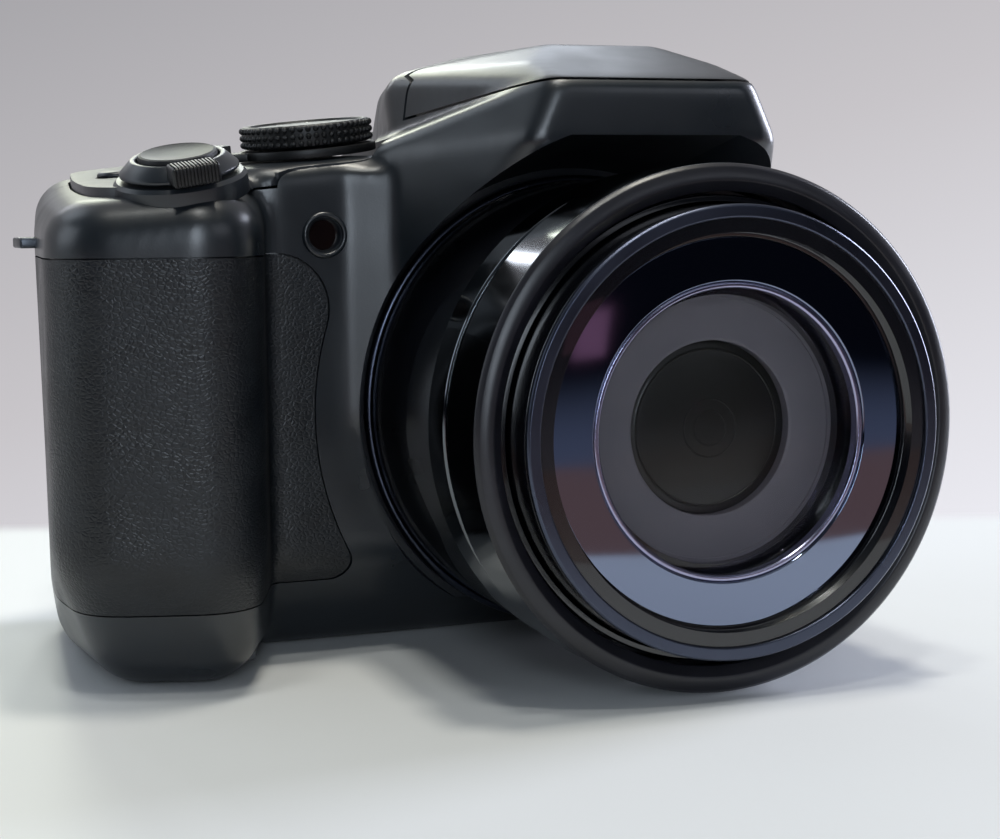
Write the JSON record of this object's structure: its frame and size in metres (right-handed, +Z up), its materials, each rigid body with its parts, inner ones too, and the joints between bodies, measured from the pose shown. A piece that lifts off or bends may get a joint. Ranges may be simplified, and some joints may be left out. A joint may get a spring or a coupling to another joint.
{
  "type": "bridge camera",
  "caption": "Bridge camera with a fixed long-zoom lens on telescoping barrels, a deep rubber grip, a hood with a pop-up flash, an electronic finder and a rear display.",
  "frame": {"origin": "mouth of the tripod socket on the base plane", "axes": "+Z up, -Y the way the lens looks, -X towards the grip"},
  "size_m": [0.133, 0.1192, 0.0943],
  "materials": {
    "body_plastic": "fine moulded texture, satin",
    "panel_plastic": "satin",
    "grip_rubber": "leather-grain moulded rubber",
    "soft_rubber": "smooth moulded rubber",
    "barrel_gloss": "glossy black",
    "polished_band": "dark polished plating",
    "ring_satin": "satin black anodised",
    "name_gloss": "mirror gloss black with a bright bezel",
    "front_glass": "coated optical glass",
    "inner_glass": "coated optical glass, dark olive",
    "baffle_grey": "satin grey with a purple cast",
    "cell_black": "matt black",
    "control_black": "satin black",
    "button_grey": "satin lacquer with a metallic cast",
    "frame_alloy": "die-cast",
    "steel": "turned steel",
    "amber_window": "clear dark amber",
    "screen_glass": "dark cover glass",
    "screen_panel": "display module",
    "circuit_board": "solder resist",
    "cell_case": "printed case left bare",
    "lamp_diffuser": "ribbed clear diffuser over a reflector"
  },
  "bodies": {
    "camera_body": {"front_cover": "body_plastic", "rear_cover": "body_plastic", "control_panel": "panel_plastic", "base_cover": "body_plastic", "grip_rubber": "grip_rubber", "thumb_pad": "grip_rubber", "chassis": "frame_alloy", "tripod_bush": "steel", "barrel_collar": "barrel_gloss", "fixed_barrel": "barrel_gloss", "barrel_band_rear": "polished_band", "barrel_band_front": "polished_band", "front_ring": "ring_satin", "strap_lugs": "steel", "lamp_window": "amber_window", "display_panel": "screen_panel", "display_glass": "screen_glass", "main_board": "circuit_board", "image_sensor": "circuit_board", "battery_box": "cell_black", "battery": "cell_case", "memory_card": "cell_case", "eyecup": "soft_rubber", "eyepiece_lens": "front_glass", "base_screws": "steel", "zoom_motor": "frame_alloy", "flash_hinge_pin": "steel", "door_hinge_pin": "steel"},
    "cam_stage": {"cam_ring": "frame_alloy"},
    "middle_stage": {"middle_barrel": "barrel_gloss", "rear_lens_cell": "cell_black", "rear_lens": "front_glass"},
    "front_stage": {"front_barrel": "barrel_gloss", "name_ring": "name_gloss", "front_lens": "front_glass", "baffle_ring": "baffle_grey", "inner_lens": "inner_glass"},
    "flash_head": {"flash_lid": "body_plastic", "flash_lamp": "lamp_diffuser"},
    "shutter_button": {"shutter_button": "button_grey"},
    "zoom_lever": {"zoom_lever": "control_black"},
    "mode_dial": {"mode_dial": "control_black"},
    "power_lever": {"power_lever": "control_black"},
    "record_button": {"record_button": "panel_plastic"},
    "function_button": {"function_button": "panel_plastic"},
    "thumb_dial": {"thumb_dial": "control_black"},
    "flash_button": {"flash_button": "panel_plastic"},
    "battery_door": {"battery_door": "body_plastic"},
    "door_latch": {"door_latch": "control_black"},
    "terminal_door": {"terminal_door": "body_plastic"},
    "dioptre_dial": {"dioptre_dial": "control_black"},
    "set_button": {"set_button": "control_black"},
    "cursor_up": {"cursor_up": "control_black"},
    "cursor_down": {"cursor_down": "control_black"},
    "cursor_left": {"cursor_left": "control_black"},
    "cursor_right": {"cursor_right": "control_black"},
    "play_button": {"play_button": "control_black"},
    "menu_button": {"menu_button": "control_black"},
    "display_button": {"display_button": "control_black"},
    "lock_button": {"lock_button": "control_black"}
  },
  "joints": [
    {"name": "zoom_slide", "type": "slide", "parent": "camera_body", "child": "front_stage", "axis": [0, -1, 0], "range_m": [0, 0.044]},
    {"name": "middle_slide", "type": "slide", "parent": "camera_body", "child": "middle_stage", "axis": [0, -1, 0], "range_m": [0, 0.022]},
    {"name": "cam_turn", "type": "hinge", "parent": "camera_body", "child": "cam_stage", "pos_m": [0, 0, 0.0376], "axis": [0, -1, 0], "range_deg": [0, 80]},
    {"name": "shutter_press", "type": "slide", "parent": "camera_body", "child": "shutter_button", "axis": [0.1492, 0.2198, -0.9641], "range_m": [0, 0.0012], "stiffness_N_per_m": 700},
    {"name": "lever_turn", "type": "hinge", "parent": "camera_body", "child": "zoom_lever", "pos_m": [-0.068, -0.0368, 0.07405], "axis": [-0.1492, -0.2198, 0.9641], "range_deg": [-22, 22], "stiffness_Nm_per_rad": 0.02},
    {"name": "dial_turn", "type": "hinge", "parent": "camera_body", "child": "mode_dial", "pos_m": [-0.0426, -0.013, 0.0772], "axis": [-0.0974, -0.061, 0.9934], "continuous": true},
    {"name": "power_turn", "type": "hinge", "parent": "camera_body", "child": "power_lever", "pos_m": [-0.0426, -0.013, 0.0772], "axis": [-0.0974, -0.061, 0.9934], "range_deg": [0, 30]},
    {"name": "record_press", "type": "slide", "parent": "camera_body", "child": "record_button", "axis": [0.0974, 0.061, -0.9934], "range_m": [0, 0.0005], "stiffness_N_per_m": 900},
    {"name": "function_press", "type": "slide", "parent": "camera_body", "child": "function_button", "axis": [0.0974, 0.061, -0.9934], "range_m": [0, 0.0005], "stiffness_N_per_m": 900},
    {"name": "thumb_dial_turn", "type": "hinge", "parent": "camera_body", "child": "thumb_dial", "pos_m": [-0.052, 0.019, 0.062], "axis": [0, 0, 1], "continuous": true},
    {"name": "flash_lift", "type": "hinge", "parent": "camera_body", "child": "flash_head", "pos_m": [0, -0.016, 0.0913], "axis": [-1, 0, 0], "range_deg": [0, 60]},
    {"name": "flash_press", "type": "slide", "parent": "camera_body", "child": "flash_button", "axis": [-1, 0, 0], "range_m": [0, 0.0005], "stiffness_N_per_m": 900},
    {"name": "door_swing", "type": "hinge", "parent": "camera_body", "child": "battery_door", "pos_m": [-0.0574, 0, 0.0025], "axis": [0, -1, 0], "range_deg": [0, 90]},
    {"name": "latch_slide", "type": "slide", "parent": "battery_door", "child": "door_latch", "axis": [0, 1, 0], "range_m": [0, 0.003]},
    {"name": "terminal_swing", "type": "hinge", "parent": "camera_body", "child": "terminal_door", "pos_m": [0.04245, 0.00575, 0.0345], "axis": [0, 0, -1], "range_deg": [0, 95]},
    {"name": "dioptre_turn", "type": "hinge", "parent": "camera_body", "child": "dioptre_dial", "pos_m": [0.018, 0.031, 0.07], "axis": [1, 0, 0], "range_deg": [-120, 120]},
    {"name": "set_press", "type": "slide", "parent": "camera_body", "child": "set_button", "axis": [0, -1, 0], "range_m": [0, 0.0005], "stiffness_N_per_m": 900},
    {"name": "cursor_up_press", "type": "slide", "parent": "camera_body", "child": "cursor_up", "axis": [0, -1, 0], "range_m": [0, 0.0005], "stiffness_N_per_m": 900},
    {"name": "cursor_down_press", "type": "slide", "parent": "camera_body", "child": "cursor_down", "axis": [0, -1, 0], "range_m": [0, 0.0005], "stiffness_N_per_m": 900},
    {"name": "cursor_left_press", "type": "slide", "parent": "camera_body", "child": "cursor_left", "axis": [0, -1, 0], "range_m": [0, 0.0005], "stiffness_N_per_m": 900},
    {"name": "cursor_right_press", "type": "slide", "parent": "camera_body", "child": "cursor_right", "axis": [0, -1, 0], "range_m": [0, 0.0005], "stiffness_N_per_m": 900},
    {"name": "play_press", "type": "slide", "parent": "camera_body", "child": "play_button", "axis": [0, -1, 0], "range_m": [0, 0.0005], "stiffness_N_per_m": 900},
    {"name": "menu_press", "type": "slide", "parent": "camera_body", "child": "menu_button", "axis": [0, -1, 0], "range_m": [0, 0.0005], "stiffness_N_per_m": 900},
    {"name": "display_press", "type": "slide", "parent": "camera_body", "child": "display_button", "axis": [0, -1, 0], "range_m": [0, 0.0005], "stiffness_N_per_m": 900},
    {"name": "lock_press", "type": "slide", "parent": "camera_body", "child": "lock_button", "axis": [0, -1, 0], "range_m": [0, 0.0005], "stiffness_N_per_m": 900}
  ],
  "couplings": [
    {"joint": "middle_slide", "follows": "zoom_slide", "ratio": 0.5},
    {"joint": "cam_turn", "follows": "zoom_slide", "rad_per_m": 31.733}
  ]
}
